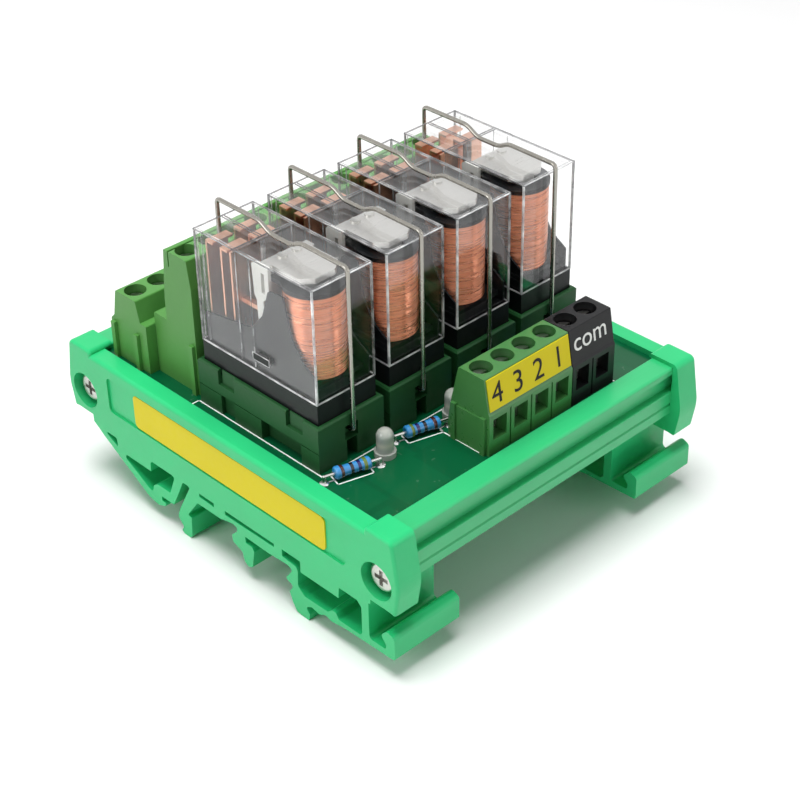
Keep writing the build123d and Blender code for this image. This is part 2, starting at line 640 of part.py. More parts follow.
# Output terminals: low row at the back edge, high row between it and the relays
low_top = board_top + low_height
low_back = low_y + low_rear
low_outline = [
    (low_y - low_front, board_top), (low_y - low_front, low_top - 4.1, 0.3), (low_y - 4.0, low_top - 4.1),
    (low_y - 3.1, low_top, 0.3), (low_y + 2.5, low_top, 0.3), (low_y + 3.6, low_top - 5.4),
    (low_y + 4.6, low_top - 6.4), (low_back, low_top - 8.8), (low_back, board_top),
]
high_top = board_top + high_height
high_front = high_y - high_front_half
high_back = high_y + high_rear
high_outline = [
    (high_front, board_top), (high_front, high_top - 5.4), (high_y - 2.9, high_top, 0.3),
    (high_y + 1.8, high_top, 0.2), (high_y + 1.8, high_top - 3.0), (high_y + 2.1, high_top - 3.0),
    (high_y + 2.1, high_top, 0.2), (high_y + 3.1, high_top, 0.2), (high_y + 4.05, high_top - 10.0),
    (high_y + 4.05, board_top + 12.2), (high_back, board_top + 12.2, 0.3), (high_back, board_top),
]
output_clamps = []


def output_row(points, x0, y, top, back):
    """Row of poles with screw holes above and wire windows to the back."""
    row = slab_x(points, x0, x0 + output_poles * pole_pitch)
    for i in range(output_poles):
        x = x0 + (i + 0.5) * pole_pitch
        row -= rod("Z", x, y, top - 7.1, top + 1, screw_hole)
        row -= block(x - window_width / 2, x + window_width / 2, y - 2.3, back + 1,
                     top - 7.0 - window_height, top - 7.0)
        screws.append(terminal_screw_at(x, y, top))
        output_clamps.append(cage_at(x, y - 2.2, y + 2.0, top - 7.0 - window_height + fit, top - 7.1))
    return row


low_row = output_row(low_outline, low_x, low_y, low_top, low_back)
for y in (low_y - 3.0, low_y + 3.5):
    low_row += block(low_x - 0.7, low_x, y - 0.5, y + 0.5, board_top, board_top + 7.3)
save("output_terminal_low", low_row)
high_row = output_row(high_outline, high_x, high_y, high_top, high_back)
high_row += block(high_x - 0.7, high_x, high_front + 0.3, high_front + 1.3, board_top, board_top + 10.0)
save("output_terminal_high", high_row)
save("output_clamps", *output_clamps)
save("terminal_screws", *screws)

# Status lights: domed body with a flange, seated on the board
led_x = relay_x + led_side
led_y = relay_front - led_ahead
dome_z = board_top + led_height - led_diameter / 2
led = rod("Z", led_x, led_y, board_top, board_top + 1.0, led_diameter + 0.8)
led += rod("Z", led_x, led_y, board_top, dome_z, led_diameter)
led += Pos(led_x, led_y, dome_z) * Sphere(led_diameter / 2)
save("status_leds", *copies(led, relay_count, relay_pitch))

# Resistors: swollen ends, body, and leads bent down to the board
resistor_x = relay_x + resistor_side
resistor_y = relay_front - resistor_ahead
reach = resistor_span / 2
lift = resistor_diameter / 2 + 0.2
resistor = rod("X", 0, lift, -resistor_length / 2 + 0.8, resistor_length / 2 - 0.8,
               resistor_diameter - 0.4)
for side in (-1, 1):
    ends = sorted((side * resistor_length / 2, side * (resistor_length / 2 - 1.6)))
    cap = rod("X", 0, lift, ends[0], ends[1], resistor_diameter)
    resistor += fillet(cap.edges().filter_by(GeomType.CIRCLE), 0.4)
    ends = sorted((side * (resistor_length / 2 - 0.5), side * reach))
    resistor += rod("X", 0, lift, ends[0], ends[1], lead)
    resistor += rod("Z", side * reach, 0, 0, lift, lead)
    resistor += Pos(side * reach, 0, lift) * Sphere(lead / 2)
resistor = Pos(resistor_x, resistor_y, board_top) * Rot(0, 0, resistor_turn) * resistor
save("resistors", *copies(resistor, relay_count, relay_pitch))

# Solder joints under the board, one below each terminal and relay pin
joints = []
pin_rows = [(input_x, green_poles, input_screw_y), (black_x, black_poles, input_screw_y),
            (low_x, output_poles, low_y), (high_x, output_poles, high_y)]
for x0, poles, y in pin_rows:
    for i in range(poles):
        joints.append(Pos(x0 + (i + 0.5) * pole_pitch, y, board_z - 0.7) * Cone(0.5, 1.2, 1.4))
save("solder_joints", *joints)
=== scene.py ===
import math

import bpy
from bpy.props import FloatProperty, FloatVectorProperty, IntProperty, PointerProperty
from mathutils import Euler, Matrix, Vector


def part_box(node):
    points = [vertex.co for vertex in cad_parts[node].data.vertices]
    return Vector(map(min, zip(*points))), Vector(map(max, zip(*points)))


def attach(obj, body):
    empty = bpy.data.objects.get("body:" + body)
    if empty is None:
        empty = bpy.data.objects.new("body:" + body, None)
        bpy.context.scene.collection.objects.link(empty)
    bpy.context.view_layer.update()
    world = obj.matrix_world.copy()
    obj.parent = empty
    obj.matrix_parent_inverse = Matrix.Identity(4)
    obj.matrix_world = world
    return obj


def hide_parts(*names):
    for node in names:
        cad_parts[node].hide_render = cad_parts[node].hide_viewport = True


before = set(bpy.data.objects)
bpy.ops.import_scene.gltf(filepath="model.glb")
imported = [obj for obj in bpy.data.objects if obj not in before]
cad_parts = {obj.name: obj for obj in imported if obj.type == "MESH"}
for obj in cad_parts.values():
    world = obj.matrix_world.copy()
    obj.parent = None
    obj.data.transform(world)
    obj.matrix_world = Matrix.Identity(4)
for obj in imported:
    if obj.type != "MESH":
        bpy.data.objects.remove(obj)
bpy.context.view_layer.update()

bl_info = {
    "name": "Relay Module Board",
    "version": (1, 0, 0),
    "blender": (4, 5, 0),
    "location": "View3D > Sidebar > Relay Module",
    "description": "Finishes and fine pieces of a rail-mount relay module",
    "category": "Object",
}

RELAYS = (1, 2, 3, 4)
MM = 0.001
PITCH = 16.0  # from one relay to the next, in millimetres
GRAIN = 0.00002  # depth of the grain on plastic, in metres
FINE_GRAIN = 0.00001  # depth of the streaks on metal and of the peel on film, in metres

# Resistors: turn from the X axis, and in millimetres half of the body, half of a band, and each
# band's place from the middle with its colour
RESISTOR_TURN = math.radians(-16.0)
RESISTOR_HALF = 3.27
BAND_HALF = 0.3
BANDS = ((-2.1, (0.05, 0.008, 0.008)), (-0.3, (0.006, 0.005, 0.01)), (1.05, (0.012, 0.01, 0.11)),
         (2.1, (0.13, 0.2, 0.03)))

# Bright cup inside a light: bottom, middle and top in metres
CUP = (0.0279, 0.0287, 0.0295)

# Wire clip, in millimetres: pivot pin, bend radius, and lean and drop of the front corner
CLIP_PIN = 3.15
CLIP_BEND = 0.8
CLIP_FRONT = (0.1, 0.4)
# Corners from the front run over the dip to the crest: ahead of the back leg, and below the crest
CLIP_CORNERS = ((20.7, 0.3), (18.3, 1.5), (13.4, 1.5), (10.7, 0.0))

# Clear case, in millimetres
EDGE_INSET = 0.04  # from the case's sides to its bright edges, which carry painted highlights
EDGE_FOOT = 0.02  # from its foot
EDGE_TOP = 0.03  # from its top
CASE_WALL = 0.5  # from an outer edge to the inner one
INNER_WALL = 0.6  # thickness of the walls inside
INNER_WALL_AHEAD = 10.2  # from the back to the wall across the case
INNER_WALL_FOOT = 50.5  # height at which the walls' crossing starts
INNER_TOP = (0.5, 0.3)  # bottom and top of the inner walls' upper edge, below the case's top
RIBS = (15.4, 18.8, 27.1, 28.3)  # upright ribs, from the front
RIB_WIDTH = 0.15
RIB_LEFT, RIB_RIGHT = 0.3, 0.5  # from the left and the right edge
RIB_FOOT, RIB_TOP = 0.4, 0.5  # from the bottom and the top edge

# Hook window in the case, in millimetres: front and back from the case's front, bottom and top
# from its foot
HOOK_WINDOW = (11.5, 15.4, 2.3, 3.5)
HOOK_PROUD = 0.03
HOOK_THICK = 0.04
WINDOW_FRAME = 0.16
FRAME_PROUD = 0.01  # over the hook
FRAME_REACH = 0.05  # from the hook's face to the frame's other side

# Marks on the input terminal, in millimetres: letter size, and height over the sloped face
DIGIT = (5.5, 0.12)
WORD = (4.9, -0.08)
DIGIT_PLACE = 0.42  # of its pole's width
WORD_SHIFT = -0.3
FACE_LEAN = math.atan2(6.2, 1.1)

# Camera at the photograph's angle: place in metres, turn in radians, lens in millimetres
CAMERA_PLACE = (-0.18863, -0.20412, 0.20670)
CAMERA_TURN = (0.97026, 0.01680, -0.77098)
CAMERA_LENS = 83.34

# Stage: radii in metres between which the floor turns into the background, strength of the world
# as a light, width of the lamps and the place that they point at in metres
FLOOR_FADE = (0.25, 0.8)
DIM_LIGHT = 0.22
LAMP_WIDTH = 0.40
LAMP_AIM = (0, 0, 0.03)


# Shader maths

class Socket:
    """Output of a node, which can be used in sums."""

    def __init__(self, shader, out):
        self.shader = shader
        self.out = out

    def _math(self, operation, first, second=None):
        inputs = {0: first} if second is None else {0: first, 1: second}
        return self.shader.node("ShaderNodeMath", {"operation": operation}, inputs)

    def __add__(self, other):
        return self._math("ADD", self, other)

    __radd__ = __add__

    def __mul__(self, other):
        return self._math("MULTIPLY", self, other)

    __rmul__ = __mul__

    def __sub__(self, other):
        return self._math("SUBTRACT", self, other)

    def __rsub__(self, other):
        return self._math("SUBTRACT", other, self)

    def __truediv__(self, other):
        return self._math("DIVIDE", self, other)

    def __pow__(self, other):
        return self._math("POWER", self, other)

    def __abs__(self):
        return self._math("ABSOLUTE", self)

    def __gt__(self, other):
        return self._math("GREATER_THAN", self, other)

    def __lt__(self, other):
        return self._math("LESS_THAN", self, other)


class Shader:
    """Nodes of a material or of the world, under construction."""

    def __init__(self, owner, last):
        owner.use_nodes = True
        self.owner = owner
        self.tree = owner.node_tree
        self.last = self.tree.nodes[last]

    def plug(self, socket, value):
        if isinstance(value, Socket):
            self.tree.links.new(value.out, socket)
        elif socket.type == "RGBA" and len(value) == 3:
            socket.default_value = (*value, 1.0)
        else:
            socket.default_value = value

    def node(self, kind, settings, inputs, output=0):
        """Any node: its type, its settings, the values or links of its sockets, and the output wanted."""
        made = self.tree.nodes.new(kind)
        for key, value in settings.items():
            setattr(made, key, value)
        for key, value in inputs.items():
            self.plug(made.inputs[key], value)
        return Socket(self, made.outputs[output])

    def set(self, **values):
        """Values or links of the last node, with its sockets' names written with underscores."""
        for key, value in values.items():
            self.plug(self.last.inputs[key.replace("_", " ")], value)
        return self

    def noise(self, scale, detail=2.0, roughness=0.5, where=None):
        inputs = {"Vector": where or self.position, "Scale": scale, "Detail": detail, "Roughness": roughness}
        return self.node("ShaderNodeTexNoise", {}, inputs)

    def streaks(self, x, y, z, detail, roughness):
        """Noise over coordinates that are stretched one by one."""
        place = self.node("ShaderNodeCombineXYZ", {}, {0: x, 1: y, 2: z})
        return self.noise(1.0, detail, roughness, place)

    def mix(self, factor, first, second):
        """Colour between two others."""
        return self.node("ShaderNodeMix", {"data_type": "RGBA"}, {0: factor, 6: first, 7: second}, 2)

    def between(self, value, low, high, to_low=0.0, to_high=1.0):
        return self.node("ShaderNodeMapRange", {}, {0: value, 1: low, 2: high, 3: to_low, 4: to_high})

    def spread(self, noise, to_low=0.0, to_high=1.0):
        """Noise stretched from the middle that it mostly keeps to."""
        return self.between(noise, 0.3, 0.7, to_low, to_high)

    def axes(self):
        split = self.node("ShaderNodeSeparateXYZ", {}, {0: self.position})
        return [Socket(self, out) for out in split.out.node.outputs]

    def bump(self, height, distance, strength=1.0):
        return self.node("ShaderNodeBump", {}, {"Height": height, "Distance": distance, "Strength": strength})

    def backdrop_ray(self):
        """1 for the rays that show the background: straight, mirrored or through clear pieces."""
        straight, mirrored, through = (self.node("ShaderNodeLightPath", {}, {}, f"Is {ray} Ray")
                                       for ray in ("Camera", "Glossy", "Transmission"))
        return straight + mirrored + through > 0.5


def finish(name):
    """New material, with its pattern on Object coordinates."""
    s = Shader(bpy.data.materials.new(name), "Principled BSDF")
    s.position = s.node("ShaderNodeTexCoord", {}, {}, "Object")
    return s


def shade(colour, factor):
    """The colour made darker or lighter."""
    return tuple(min(1.0, c * factor) for c in colour)


# Finishes

def moulded(name, colour, gloss, shine=0.4):
    """Moulded plastic: faint flow marks, fine grain and uneven gloss."""
    s = finish(name)
    flow = s.noise(45.0, 3.0)
    grain = s.noise(900.0)
    s.set(Base_Color=s.mix(s.spread(flow), shade(colour, 0.93), shade(colour, 1.06)),
          Roughness=s.between(flow + grain * 0.5, 0.4, 1.1, gloss - 0.05, gloss + 0.08),
          Specular_IOR_Level=shine, Normal=s.bump(grain, GRAIN))
    return s


def metal(name, colour, gloss, brush=(400.0, 400.0, 40.0), dark=0.8, light=1.1):
    """Plated or drawn metal with fine streaks along Z."""
    s = finish(name)
    stretched = s.node("ShaderNodeMapping", {}, {"Vector": s.position, "Scale": brush})
    streak = s.noise(6.0, 4.0, 0.6, stretched)
    s.set(Base_Color=s.mix(streak, shade(colour, dark), shade(colour, light)), Metallic=1.0,
          Roughness=s.between(streak, 0.2, 0.8, gloss - 0.06, gloss + 0.12),
          Normal=s.bump(streak, FINE_GRAIN))
    return s


def finish_profile(colour):
    """Extruded plastic with draw lines along X."""
    s = finish("profile_plastic")
    x, y, z = s.axes()
    lines = s.streaks(x * 4.0, y * 1800.0, z * 1800.0, 3.0, 0.6)
    s.set(Base_Color=s.mix(s.spread(s.noise(30.0)), shade(colour, 0.93), shade(colour, 1.05)),
          Roughness=s.between(lines, 0.2, 0.8, 0.26, 0.42), Normal=s.bump(lines, GRAIN))
    return s


def finish_board(colour):
    """Glossy solder mask over copper: pours with gaps between them, and specks of dust."""
    s = finish("board_mask")
    pour = s.node("ShaderNodeTexVoronoi", {"distance": "CHEBYCHEV"}, {"Vector": s.position, "Scale": 90.0})
    gap = s.between(pour, 0.42, 0.45)
    dust = s.between(s.noise(900.0, 1.0), 0.74, 0.78)
    mask = s.mix(gap, shade(colour, 1.04), shade(colour, 0.9))
    s.set(Base_Color=s.mix(dust * 0.12, mask, (0.3, 0.4, 0.32)), Specular_IOR_Level=0.2,
          Coat_Weight=0.2, Coat_Roughness=0.06, Roughness=s.spread(s.noise(160.0), 0.3, 0.42),
          Normal=s.bump(gap, GRAIN, 0.3))
    return s


def finish_clear():
    """Clear case: a thin mirror, nearly nothing straight on and stronger at a slant."""
    s = finish("clear_case")
    facing = s.node("ShaderNodeLayerWeight", {}, {"Blend": 0.5}, "Facing")
    smear = s.noise(120.0, 3.0)
    s.set(Base_Color=(0.96, 0.97, 0.98), Metallic=1.0, Roughness=s.spread(smear, 0.02, 0.07),
          Alpha=(facing ** 4.0) * 0.85 + s.spread(smear, 0.022, 0.038))
    return s


def finish_clear_edge(name, dark, light, shine, thin, thick):
    """Painted highlight on an edge of clear plastic: pale streaks with darker ones between, standing in for
    the light that the edge gathers.
    """
    s = finish(name)
    # Noise that paints the edge's highlight in pale and dark streaks and sets how much of it shows
    glint_paint = s.noise(420.0, 3.0)
    s.set(Base_Color=s.mix(s.between(glint_paint, 0.35, 0.65), (dark, dark, dark * 1.05), (light, light, light)),
          Roughness=0.08, Specular_IOR_Level=shine, Alpha=s.between(glint_paint, 0.35, 0.65, thin, thick))
    return s


def finish_winding(colour):
    """Enamelled copper wire: each turn catches the light, with paler and darker turns."""
    s = finish("winding")
    x, y, z = s.axes()
    turns = s.streaks(x * 60.0, y * 60.0, z * 3400.0, 2.0, 0.5)
    s.set(Base_Color=s.mix(s.spread(turns), shade(colour, 0.74), shade(colour, 1.12)), Metallic=0.85,
          Roughness=s.spread(turns, 0.24, 0.34), Coat_Weight=0.35, Coat_Roughness=0.1)
    return s


def finish_light():
    """Milky diffusing resin, brighter low down over its bright cup."""
    s = finish("milky_resin")
    z = s.axes()[2]
    cloud = s.noise(500.0)
    bottom, middle, top = CUP
    cup = s.between(z, bottom, middle) * s.between(z, top, middle)
    s.set(Base_Color=s.mix(cup * 0.5 + cloud * 0.2, (0.42, 0.45, 0.42), (0.85, 0.80, 0.66)), Roughness=0.16,
          Alpha=s.spread(cloud, 0.82, 0.92), Coat_Weight=0.5)
    return s


def finish_resistor(colour):
    """Lacquer with four colour bands, turned end for end on every other one, and tinned leads."""
    s = finish("resistor_lacquer")
    x, y = s.axes()[:2]
    low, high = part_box("resistors")
    pitch = PITCH * MM
    start = low.x - pitch / 4
    place = (x - start) / pitch
    index = s.node("ShaderNodeMath", {"operation": "FLOOR"}, {0: place})
    odd = s.node("ShaderNodeMath", {"operation": "MODULO"}, {0: index, 1: 2.0})
    length = high.x - low.x - pitch * (len(RELAYS) - 1)
    along = ((place - index) * pitch - (low.x - start + length / 2)) * math.cos(RESISTOR_TURN)
    along = along + (y - (low.y + high.y) / 2) * math.sin(RESISTOR_TURN)
    placed = along * (1.0 - odd * 2.0)
    grain = s.noise(600.0)
    paint = s.mix(grain, shade(colour, 0.9), shade(colour, 1.12))
    for centre, band in BANDS:
        paint = s.mix(abs(placed - centre * MM) < BAND_HALF * MM, paint, band)
    tinned = abs(along) > RESISTOR_HALF * MM
    s.set(Base_Color=s.mix(tinned, paint, s.mix(grain, (0.6, 0.6, 0.58), (0.7, 0.7, 0.68))), Metallic=tinned,
          Roughness=s.spread(grain, 0.16, 0.3), Coat_Weight=(1.0 - tinned) * 0.7, Coat_Roughness=0.06)
    return s


def finish_film(name, colour):
    """Printed film, with a slight orange-peel surface."""
    s = finish(name)
    peel = s.noise(700.0)
    s.set(Base_Color=s.mix(s.noise(60.0), shade(colour, 0.95), shade(colour, 1.04)),
          Roughness=s.spread(peel, 0.38, 0.5), Specular_IOR_Level=0.15, Normal=s.bump(peel, FINE_GRAIN))
    return s


# Modelling helpers

def deselect():
    bpy.ops.object.select_all(action="DESELECT")


def pick(obj):
    """Selects one object alone and makes it active."""
    deselect()
    obj.select_set(True)
    bpy.context.view_layer.objects.active = obj


def settle(obj, name, body, shader, smooth=None, replaces=()):
    """Puts the place into the mesh and hands the piece to its body."""
    pick(obj)
    bpy.ops.object.transform_apply(location=True, rotation=True, scale=True)
    if smooth is not None:
        bpy.ops.object.shade_smooth_by_angle(angle=math.radians(smooth))
    obj.name = name
    obj.data.name = name
    obj.data.materials.clear()
    obj.data.materials.append(shader.owner)
    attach(obj, body)
    if replaces:
        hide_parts(*replaces)
    deselect()


def repeat(obj, kind, body, shader, smooth=None, hides=None):
    """Hands over a piece for each relay: the one given, and copies of it with their own meshes."""
    for i in RELAYS:
        piece = obj
        if i < RELAYS[-1]:
            pick(obj)
            bpy.ops.object.duplicate(linked=False)
            obj = bpy.context.object
            obj.location.x += PITCH * MM
        hidden = [f"{hides}_{i}"] if hides else ()
        settle(piece, f"{kind}_{i}", body.format(i), shader, smooth, hidden)


def joined(objects):
    deselect()
    for obj in objects:
        obj.select_set(True)
    bpy.context.view_layer.objects.active = objects[0]
    bpy.ops.object.join()
    return bpy.context.object


def bar(low, high):
    """Block between two corners, in millimetres."""
    low, high = Vector(low) * MM, Vector(high) * MM
    deselect()
    bpy.ops.mesh.primitive_cube_add(size=1.0, location=(low + high) / 2, scale=high - low)
    bpy.ops.object.transform_apply(location=False, rotation=False, scale=True)
    return bpy.context.object


def stroke(a, b, width, top, thick=0.03):
    """Flat line of print between two places on the board, in millimetres."""
    dx, dy = b[0] - a[0], b[1] - a[1]
    place = ((a[0] + b[0]) / 2 * MM, (a[1] + b[1]) / 2 * MM, (top + thick / 2) * MM)
    size = ((math.hypot(dx, dy) + width) * MM, width * MM, thick * MM)
    deselect()
    bpy.ops.mesh.primitive_cube_add(size=1.0, location=place, scale=size,
                                    rotation=(0.0, 0.0, math.atan2(dy, dx)))
    bpy.ops.object.transform_apply(location=True, rotation=True, scale=True)
    return bpy.context.object


def corners(node):
    """Lowest and highest corner of a CAD node, in millimetres."""
    return [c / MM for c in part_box(node)]


def dress(shader, *nodes):
    """Gives CAD nodes their finish."""
    for node in nodes:
        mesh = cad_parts[node].data
        mesh.materials.clear()
        mesh.materials.append(shader.owner)


def each(kind):
    return [f"{kind}_{i}" for i in RELAYS]


def resistor_place(i):
    """Middle of a resistor in X and Y, in millimetres."""
    low, high = corners("resistors")
    first = (low.x + high.x - PITCH * (len(RELAYS) - 1)) / 2
    return Vector((first + PITCH * (i - 1), (low.y + high.y) / 2))


# Settings

class ModuleColours(bpy.types.PropertyGroup):
    """Colours of the main finishes"""

    carrier: FloatVectorProperty(name="Carrier", description="Moulded end plates", subtype="COLOR",
                                 default=(0.022, 0.50, 0.175))
    profile: FloatVectorProperty(name="Profile", description="Extruded base", subtype="COLOR",
                                 default=(0.03, 0.46, 0.165))
    board: FloatVectorProperty(name="Board", description="Solder mask", subtype="COLOR",
                               default=(0.0012, 0.088, 0.030))
    terminal: FloatVectorProperty(name="Terminals", description="Output terminal blocks", subtype="COLOR",
                                  default=(0.085, 0.27, 0.06))
    socket: FloatVectorProperty(name="Sockets", description="Relay sockets", subtype="COLOR",
                                default=(0.016, 0.078, 0.024))
    copper: FloatVectorProperty(name="Copper", description="Windings of the coils", subtype="COLOR",
                                default=(0.74, 0.295, 0.165))
    label: FloatVectorProperty(name="Label", description="Printed film", subtype="COLOR",
                               default=(0.66, 0.55, 0.01))


class ModuleSizes(bpy.types.PropertyGroup):
    """Sizes of the fine pieces and strength of the light"""

    wire: FloatProperty(name="Winding wire", description="Thickness of one turn of wire", subtype="DISTANCE",
                        unit="LENGTH", default=0.00024, min=0.0001, max=0.001)
    # The rim is the width of the bars that carry the painted highlights on the clear cases' edges
    rim: FloatProperty(name="Case rim", description="Width of the bright edges of the clear cases",
                       subtype="DISTANCE", unit="LENGTH", default=0.00032, min=0.0001, max=0.001)
    print_line: FloatProperty(name="Print line", description="Width of the white lines on the board",
                              subtype="DISTANCE", unit="LENGTH", default=0.00025, min=0.0001, max=0.001)
    lamp_power: FloatProperty(name="Lamp power", description="Power that the studio lamps share out",
                              unit="POWER", default=2.6, min=0.0)
    segments: IntProperty(name="Round segments", description="Sides of a winding turn", default=56,
                          min=12, max=96)


def colours():
    return bpy.context.scene.module_colours


def sizes():
    return bpy.context.scene.module_sizes


# Pieces

class MODULE_OT_carrier(bpy.types.Operator):
    """Finish the end plates, base profile, labels and screws"""

    bl_idname = "module.carrier"
    bl_label = "Carrier"

    def execute(self, context):
        dress(moulded("carrier_plastic", colours().carrier, 0.36), "end_plate_left", "end_plate_right")
        dress(finish_profile(colours().profile), "base_profile")
        dress(finish_film("label_film", colours().label), "plate_label", "terminal_label")
        dress(metal("zinc_screw", (0.62, 0.61, 0.58), 0.3), "plate_screws", "terminal_screws")
        return {"FINISHED"}


class MODULE_OT_board(bpy.types.Operator):
    """Finish the circuit board and its solder, and draw its white outlines"""

    bl_idname = "module.board"
    bl_label = "Circuit board"

    def execute(self, context):
        dress(finish_board(colours().board), "circuit_board")
        tin = metal("solder_tin", (0.8, 0.8, 0.8), 0.24, (80.0, 80.0, 80.0), 0.92, 1.06)
        dress(tin, "solder_joints")
        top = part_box("circuit_board")[1].z / MM
        line = sizes().print_line / MM
        strokes = [stroke(a, b, line, top) for a, b in self.outlines() + self.resistor_lines()]
        ink = finish_film("board_print", (0.86, 0.88, 0.86))
        settle(joined(strokes), "board_outlines", "module", ink)
        self.pads(tin, top)
        return {"FINISHED"}

    def outlines(self):
        """Box round the sockets with a tail at its back, and lines beside the terminals."""
        low, high = corners("relay_socket_1")
        last = corners("relay_socket_4")[1]
        side, ahead, behind, tail = 0.15, 0.95, 0.4, 2.0
        x0, x1, y0, y1 = low.x - side, last.x + side, low.y - ahead, high.y + behind
        lines = [((x0, y0), (x0, y1)), ((x1, y0), (x1, y1)), ((x0, y0), (x1, y0)),
                 ((x0, y1), (x0 - tail, y1))]
        low, high = corners("input_terminal_green")
        last = corners("input_terminal_black")[1]
        inset, ahead, behind, beyond = 0.35, 1.0, 1.6, 0.3
        lines.append(((low.x + inset, low.y + ahead), (low.x + inset, high.y + behind)))
        lines.append(((last.x + beyond, low.y), (last.x + beyond, high.y)))
        low, high = corners("output_terminal_low")
        beside, longer = 0.1, 0.3
        lines.append(((low.x - beside, low.y - longer), (low.x - beside, high.y + longer)))
        return lines

    def resistor_lines(self):
        """Box with a short tick at each end, turned as the resistors are."""
        half_length, half_width, tick_end = 3.3, 1.35, 4.3
        turn = RESISTOR_TURN
        along, across = Vector((math.cos(turn), math.sin(turn))), Vector((-math.sin(turn), math.cos(turn)))
        lines = []
        for i in RELAYS:
            centre = resistor_place(i)
            box = [centre + along * a * half_length + across * b * half_width
                   for a, b in ((-1, -1), (1, -1), (1, 1), (-1, 1))]
            lines += [(box[k], box[(k + 1) % 4]) for k in range(4)]
            for side in (-1, 1):
                lines.append((centre + along * side * half_length, centre + along * side * tick_end))
        return lines

    def pads(self, tin, top):
        """Domes of solder where the resistor leads meet the board."""
        reach, height = 5.15, 0.7
        along = Vector((math.cos(RESISTOR_TURN), math.sin(RESISTOR_TURN)))
        domes = []
        for side, width in ((-1, 1.7), (1, 1.9)):
            place = resistor_place(1) + along * side * reach
            deselect()
            bpy.ops.mesh.primitive_uv_sphere_add(segments=24, ring_count=12, radius=0.5,
                                                 location=(place.x * MM, place.y * MM, top * MM),
                                                 scale=(width * MM, width * MM, height * MM))
            domes.append(bpy.context.object)
        repeat(joined(domes), "lead_pads", "module", tin, 60)


